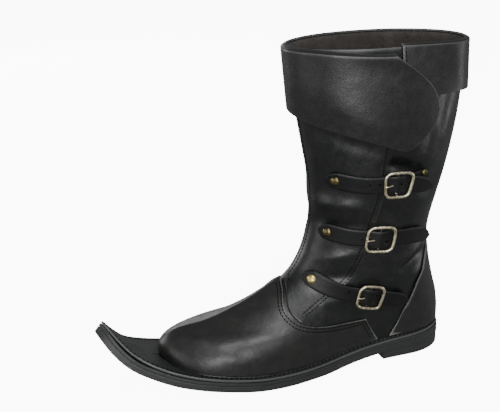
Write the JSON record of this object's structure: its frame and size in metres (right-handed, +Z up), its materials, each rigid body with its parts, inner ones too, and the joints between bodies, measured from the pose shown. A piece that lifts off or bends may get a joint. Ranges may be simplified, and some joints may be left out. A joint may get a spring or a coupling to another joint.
{
  "type": "pointed medieval buckle boot",
  "caption": "Calf-high leather boot with a curled pointed toe, turned-down cuff, wrap-over front panel, buckled straps, stitched-out sole and low heel.",
  "frame": {"origin": "middle of the flat underside of the heel, on the floor", "axes": "-X towards the toe, +X towards the back of the heel, -Y towards the outer side with the buckles, +Y towards the inner side, +Z up"},
  "size_m": [0.3621, 0.1101, 0.3083],
  "materials": {
    "sole_leather": "dark grey, matt, dressed edge",
    "insole_leather": "brown, matt",
    "upper_leather": "black, smooth, waxed",
    "vamp_leather": "black, smooth, waxed",
    "panel_leather": "black, smooth, waxed",
    "cuff_leather": "black, smooth, slightly dull",
    "strap_leather": "black, smooth",
    "antique_brass": "antique, worn bright on the edges"
  },
  "bodies": {
    "root": {"outsole": "sole_leather", "midsole": "sole_leather", "heel": "sole_leather", "insole": "insole_leather", "upper": "upper_leather", "vamp": "vamp_leather", "heel_counter": "vamp_leather", "front_panel": "panel_leather", "cuff": "cuff_leather", "strap_top": "strap_leather", "anchor_top": "strap_leather", "buckle_top": "antique_brass", "buckle_pin_top": "antique_brass", "rivet_top": "antique_brass", "strap_middle": "strap_leather", "anchor_middle": "strap_leather", "buckle_middle": "antique_brass", "buckle_pin_middle": "antique_brass", "rivet_middle": "antique_brass", "strap_bottom": "strap_leather", "anchor_bottom": "strap_leather", "buckle_bottom": "antique_brass", "buckle_pin_bottom": "antique_brass", "rivet_bottom": "antique_brass", "anchor_rivet_top": "antique_brass"}
  },
  "joints": []
}
